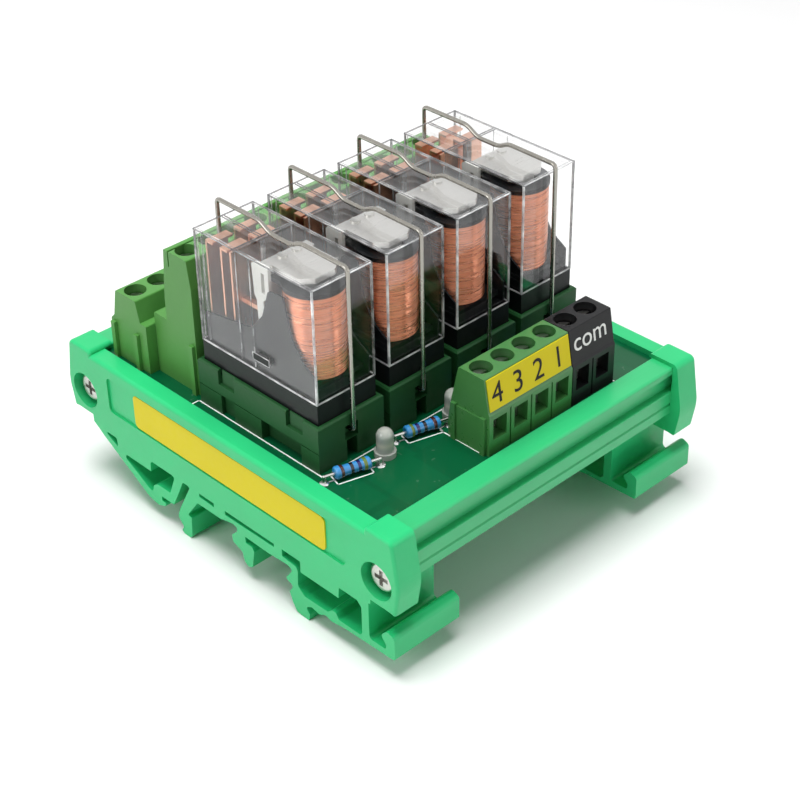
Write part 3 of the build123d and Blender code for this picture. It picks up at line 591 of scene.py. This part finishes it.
class MODULE_OT_relays(bpy.types.Operator):
    """Finish the relays, wind their coils and draw the fine forms of their cases, with painted highlights on
    the cases' edges
    """

    bl_idname = "module.relays"
    bl_label = "Relays"

    def execute(self, context):
        black = moulded("black_plastic", (0.007, 0.008, 0.009), 0.36, 0.22)
        dress(black, *each("relay_base"), *each("relay_bobbin"))
        dress(metal("contact_copper", (0.80, 0.43, 0.29), 0.3), *each("relay_contacts"))
        iron = metal("plated_iron", (0.72, 0.71, 0.68), 0.3, (60.0, 400.0, 60.0))
        dress(iron, *each("relay_yoke"), *each("relay_armature"))
        dress(moulded("card_plastic", (0.75, 0.75, 0.71), 0.4), *each("relay_card"))
        dress(finish_clear(), *each("relay_case"))
        self.coils(finish_winding(colours().copper))
        self.edges()
        self.hooks(black)
        return {"FINISHED"}

    def coils(self, winding):
        """Stacked turns of slightly uneven wire, round a core that fills the gaps between them."""
        low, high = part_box("relay_coil_1")
        wire, sides = sizes().wire, sizes().segments
        radius, height = (high.x - low.x) / 2, high.z - low.z
        unevenness = 0.00002
        foot = ((low.x + high.x) / 2, (low.y + high.y) / 2, low.z + wire / 2)
        deselect()
        bpy.ops.mesh.primitive_torus_add(major_radius=radius - wire / 2 - 2 * unevenness,
                                         minor_radius=wire / 2, major_segments=sides, minor_segments=6,
                                         location=foot)
        turn = bpy.context.object
        stack = turn.modifiers.new("turns", "ARRAY")
        stack.use_relative_offset = False
        stack.use_constant_offset = True
        stack.constant_offset_displace = (0.0, 0.0, wire)
        stack.count = int(height / wire)
        uneven = turn.modifiers.new("uneven", "DISPLACE")
        uneven.texture = bpy.data.textures.new("uneven", "CLOUDS")
        uneven.texture.noise_scale = 0.0016
        uneven.texture_coords = "GLOBAL"
        uneven.strength = unevenness
        pick(turn)
        for modifier in (stack, uneven):
            bpy.ops.object.modifier_apply(modifier=modifier.name)
        bpy.ops.mesh.primitive_cylinder_add(vertices=sides, radius=radius - wire * 0.75, depth=height,
                                            location=(low + high) / 2)
        core = bpy.context.object
        repeat(joined([turn, core]), "coil_winding", "module", winding, 60, "relay_coil")

    def edges(self):
        """Painted highlights on the edges of the clear cases: bright at the foot and near corner, grey on the
        other corners and tops, fainter on the edges of their walls and ribs.
        """
        low, high = corners("relay_case_1")
        rim = sizes().rim / MM
        foot, thin = rim * 0.6, rim * 0.3
        x0, x1, y0, y1 = low.x + EDGE_INSET, high.x - EDGE_INSET, low.y + EDGE_INSET, high.y - EDGE_INSET
        z0, z1 = low.z + EDGE_FOOT, high.z - EDGE_TOP
        bright = [((x0, y0, z0), (x1, y0 + foot, z0 + foot)), ((x0, y1 - foot, z0), (x1, y1, z0 + foot)),
                  ((x0, y0, z0), (x0 + foot, y1, z0 + foot)), ((x1 - foot, y0, z0), (x1, y1, z0 + foot)),
                  ((x0, y0, z1 - foot), (x1, y0 + foot, z1)), ((x0, y0, z0), (x0 + rim, y0 + rim, z1))]
        grey = [((x1 - rim, y0, z0), (x1, y0 + rim, z1)), ((x0, y1 - rim, z0), (x0 + rim, y1, z1)),
                ((x1 - rim, y1 - rim, z0), (x1, y1, z1)), ((x0, y1 - foot, z1 - foot), (x1, y1, z1))]
        grey += [((a, y0, z1 - foot), (a + foot, y1, z1)) for a in (x0, x1 - foot)]
        left, right, front = x0 + CASE_WALL, x1 - CASE_WALL, y0 + CASE_WALL
        faint = [((left, front, z1 - thin), (right, front + thin, z1))]
        faint += [((a, front, z1 - thin), (a + thin, y1, z1)) for a in (left, right - thin)]

        middle, wall = (x0 + x1) / 2, high.y - INNER_WALL_AHEAD
        left, right, back = middle - INNER_WALL / 2, middle + INNER_WALL / 2, wall + INNER_WALL
        below, above = z1 - INNER_TOP[0], z1 - INNER_TOP[1]
        grey += [((x0, y, below), (x1, y + thin, above)) for y in (wall, back - thin)]
        grey += [((x, back, below), (x + thin, y1, above)) for x in (left, right - thin)]
        faint.append(((left, wall, INNER_WALL_FOOT), (right, back, z1 - INNER_WALL)))

        ribs = [(x, low.y + y) for y in RIBS for x in (x0 + RIB_LEFT, x1 - RIB_RIGHT)]
        faint += [((x, y, z0 + RIB_FOOT), (x + RIB_WIDTH, y + RIB_WIDTH, z1 - RIB_TOP)) for x, y in ribs]
        # The bars follow real edges, walls and ribs of the case; their pale colour is a painted highlight,
        # brightest on the foot and near corner
        for kind, bars, look in (("case_edge_highlights", bright, (0.6, 1.0, 0.8, 0.45, 0.9)),
                                 ("case_corner_highlights", grey, (0.14, 0.5, 0.15, 0.55, 0.85)),
                                 ("case_inner_highlights", faint, (0.3, 0.9, 0.4, 0.2, 0.6))):
            shader = finish_clear_edge(f"clear_{kind}", *look)
            repeat(joined([bar(a, b) for a, b in bars]), kind, "module", shader)

    def hooks(self, black):
        """Hooks of the base in their windows, low on both sides of each case, with painted highlights round
        each window.
        """
        low, high = corners("relay_case_1")
        front, back, bottom, top = HOOK_WINDOW
        y0, y1, z0, z1 = low.y + front, low.y + back, low.z + bottom, low.z + top
        line = WINDOW_FRAME
        sides = (((y0 - line, z0 - line), (y1 + line, z0)), ((y0 - line, z1), (y1 + line, z1 + line)),
                 ((y0 - line, z0), (y0, z1)), ((y1, z0), (y1 + line, z1)))
        blocks, frame_highlights = [], []
        for x in (low.x - HOOK_PROUD, high.x - (HOOK_THICK - HOOK_PROUD)):
            blocks.append(bar((x, y0, z0), (x + HOOK_THICK, y1, z1)))
            frame_highlights += [bar((x - FRAME_PROUD, *a), (x + FRAME_REACH, *b)) for a, b in sides]
        repeat(joined(blocks), "case_hooks", "module", black)
        # Each window's outline is a set of bars carrying a painted highlight on its edges
        shader = finish_clear_edge("clear_window_highlight", 0.3, 0.8, 0.4, 0.6, 0.9)
        repeat(joined(frame_highlights), "case_window_highlights", "module", shader)


class MODULE_OT_sockets(bpy.types.Operator):
    """Finish the sockets and bend their wire clips"""

    bl_idname = "module.sockets"
    bl_label = "Sockets and clips"

    def execute(self, context):
        dress(moulded("socket_plastic", colours().socket, 0.42, 0.25), *each("relay_socket"))
        self.clips(metal("spring_wire", (0.36, 0.345, 0.31), 0.22, (90.0, 90.0, 60.0), 0.9, 1.08))
        return {"FINISHED"}

    def clips(self, spring):
        """Bent wire: pivot pins, legs, front run, dip down to the case, and crest at the back."""
        low, high = corners("socket_clip_1")
        half = (high.x - low.x) / 2
        x = (low.x + high.x) / 2
        pivot, crest = low.z + half, high.z - half
        front, back = low.y + half, high.y - half
        lean, drop = CLIP_FRONT
        path = [(front + CLIP_PIN, pivot), (front, pivot), (front + lean, crest - drop)]
        path += [(back - ahead, crest - below) for ahead, below in CLIP_CORNERS]
        path += [(back, crest), (back, pivot), (back - CLIP_PIN, pivot)]
        clip = self.bent_wire([Vector((x, y, z)) for y, z in path], half, CLIP_BEND)
        repeat(clip, "clip_wire", "clip_{}", spring, 40, "socket_clip")

    def bent_wire(self, path, half, bend):
        """Round wire through corners in millimetres, each bent to a radius."""
        points = [(path[0], path[0], path[0])]
        for before, corner, after in zip(path, path[1:], path[2:]):
            back, ahead = before - corner, after - corner
            reach = min(bend, 0.45 * back.length, 0.45 * ahead.length)
            start, end = corner + back.normalized() * reach, corner + ahead.normalized() * reach
            points += [(start, start, start.lerp(corner, 0.55)), (end, end.lerp(corner, 0.55), end)]
        points.append((path[-1], path[-1], path[-1]))
        deselect()
        bpy.ops.object.add(type="CURVE")
        curve = bpy.context.object.data
        curve.dimensions = "3D"
        curve.resolution_u = 6
        curve.bevel_depth = half * MM
        curve.bevel_resolution = 4
        curve.use_fill_caps = True
        line = curve.splines.new("BEZIER")
        line.bezier_points.add(len(points) - 1)
        for point, (here, left, right) in zip(line.bezier_points, points):
            point.co, point.handle_left, point.handle_right = here * MM, left * MM, right * MM
        bpy.ops.object.convert(target="MESH")
        return bpy.context.object


class MODULE_OT_terminals(bpy.types.Operator):
    """Finish the terminal blocks and mark the input poles"""

    bl_idname = "module.terminals"
    bl_label = "Terminals"

    def execute(self, context):
        green = moulded("terminal_plastic", colours().terminal, 0.38, 0.3)
        dress(green, "output_terminal_low", "output_terminal_high")
        # The input terminal is given a darker green than the output blocks: painted shade for the shade that
        # falls on its sides
        dress(moulded("input_shaded_plastic", (0.05, 0.185, 0.048), 0.28, 0.5), "input_terminal_green")
        dress(moulded("terminal_black_plastic", (0.008, 0.008, 0.009), 0.38, 0.25), "input_terminal_black")
        dress(metal("nickel_clamp", (0.6, 0.59, 0.56), 0.3), "input_clamps", "output_clamps")

        low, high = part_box("terminal_label")
        pole = (high.x - low.x) / 4
        place = Vector((0.0, (low.y + high.y) / 2, (low.z + high.z) / 2))
        ink = finish_film("number_ink", (0.012, 0.012, 0.012))
        for i, digit in enumerate("4321"):
            place.x = low.x + (i + DIGIT_PLACE) * pole
            self.mark(digit, f"pole_number_{digit}", place, DIGIT, "terminal_black", ink)
        low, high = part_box("input_terminal_black")
        place.x = (low.x + high.x) / 2 + WORD_SHIFT * MM
        white = finish_film("mark_ink", (0.78, 0.78, 0.76))
        self.mark("com", "common_mark", place, WORD, "label_yellow", white)
        return {"FINISHED"}

    def mark(self, letters, name, place, measure, slot, shader):
        """Letters or a number on the sloped face of the input terminal."""
        size, out = (m * MM for m in measure)
        deselect()
        bpy.ops.object.text_add()
        text = bpy.context.object.data
        text.body = letters
        text.size = size
        text.align_x = "CENTER"
        text.extrude = 0.02 * MM
        bpy.ops.object.convert(target="MESH")
        mark = bpy.context.object
        heights = [v.co.y for v in mark.data.vertices]
        middle = (max(heights) + min(heights)) / 2
        mark.rotation_euler = (FACE_LEAN, 0, 0)
        mark.location = place + Vector((0, -math.sin(FACE_LEAN), math.cos(FACE_LEAN))) * out
        mark.location -= Vector((0, math.cos(FACE_LEAN), math.sin(FACE_LEAN))) * middle
        settle(mark, name, "module", shader)


class MODULE_OT_small_parts(bpy.types.Operator):
    """Finish the lights and the resistors with their colour bands"""

    bl_idname = "module.small_parts"
    bl_label = "Lights and resistors"

    def execute(self, context):
        dress(finish_light(), "status_leds")
        dress(finish_resistor((0.035, 0.26, 0.6)), "resistors")
        return {"FINISHED"}


class MODULE_OT_stage(bpy.types.Operator):
    """Add the camera, floor, world and lamps"""

    bl_idname = "module.stage"
    bl_label = "Stage"

    def execute(self, context):
        context.scene.view_settings.view_transform = "Standard"
        self.add_camera(context.scene)
        self.add_floor()
        self.add_world(context.scene)
        power = sizes().lamp_power
        self.add_lamp("main_lamp", (-0.06, 0.02, 0.62), power * 1.75, False)
        self.add_lamp("left_lamp", (-0.62, 0.14, 0.30), power * 0.52, True)
        self.add_lamp("front_lamp", (0.26, -0.56, 0.28), power * 0.22, True)
        return {"FINISHED"}

    def add_camera(self, scene):
        camera = bpy.data.objects.new("camera", bpy.data.cameras.new("camera"))
        scene.collection.objects.link(camera)
        camera.location = CAMERA_PLACE
        camera.rotation_euler = Euler(CAMERA_TURN)
        camera.data.sensor_width = 36.0
        camera.data.lens = CAMERA_LENS
        camera.data.clip_start = 0.01
        camera.data.clip_end = 20.0
        scene.camera = camera

    def add_floor(self):
        """Pale floor that keeps the object's shadow and turns into the background further out."""
        deselect()
        bpy.ops.mesh.primitive_plane_add(size=6.0, location=(0, 0, -0.00005))
        floor = bpy.context.object
        floor.name = "floor"
        pale = finish("pale_floor")
        x, y = pale.axes()[:2]
        far = pale.between((x * x + y * y) ** 0.5, *FLOOR_FADE)
        pale.set(Base_Color=(0.9, 0.9, 0.9), Roughness=0.7, Specular_IOR_Level=0.1, Emission_Strength=0.85,
                 Emission_Color=pale.mix(far * pale.backdrop_ray(), (0.0, 0.0, 0.0), (1.0, 1.0, 1.0)))
        floor.data.materials.append(pale.owner)

    def add_world(self, scene):
        """White background that lights the object dimly."""
        scene.world = bpy.data.worlds.new("studio")
        sky = Shader(scene.world, "Background")
        sky.set(Color=(1.0, 1.0, 1.0), Strength=sky.between(sky.backdrop_ray(), 0.0, 1.0, DIM_LIGHT, 1.0))

    def add_lamp(self, name, place, power, mirrored):
        """Round soft lamp turned to the object, which mirrors it or not."""
        light = bpy.data.lights.new(name, "AREA")
        light.shape = "DISK"
        light.size = LAMP_WIDTH
        light.energy = power
        lamp = bpy.data.objects.new(name, light)
        bpy.context.scene.collection.objects.link(lamp)
        lamp.location = place
        lamp.visible_glossy = mirrored
        lamp.rotation_euler = (Vector(LAMP_AIM) - Vector(place)).to_track_quat("-Z", "Y").to_euler()


class MODULE_PT_panel(bpy.types.Panel):
    """Sizes, colours and pieces of the relay module"""

    bl_idname = "MODULE_PT_panel"
    bl_label = "Relay Module"
    bl_space_type = "VIEW_3D"
    bl_region_type = "UI"
    bl_category = "Relay Module"

    def draw(self, context):
        for group in (context.scene.module_colours, context.scene.module_sizes):
            for name in group.__annotations__:
                self.layout.prop(group, name)
        for step in STEPS:
            self.layout.operator(step.bl_idname)


STEPS = (MODULE_OT_carrier, MODULE_OT_board, MODULE_OT_relays, MODULE_OT_sockets, MODULE_OT_terminals,
         MODULE_OT_small_parts, MODULE_OT_stage)
CLASSES = (ModuleColours, ModuleSizes, *STEPS, MODULE_PT_panel)


def register():
    for cls in CLASSES:
        bpy.utils.register_class(cls)
    bpy.types.Scene.module_colours = PointerProperty(type=ModuleColours)
    bpy.types.Scene.module_sizes = PointerProperty(type=ModuleSizes)


def unregister():
    del bpy.types.Scene.module_colours
    del bpy.types.Scene.module_sizes
    for cls in reversed(CLASSES):
        bpy.utils.unregister_class(cls)


def main():
    register()
    for step in STEPS:
        group, name = step.bl_idname.split(".")
        getattr(getattr(bpy.ops, group), name)()


if __name__ == "__main__":
    main()
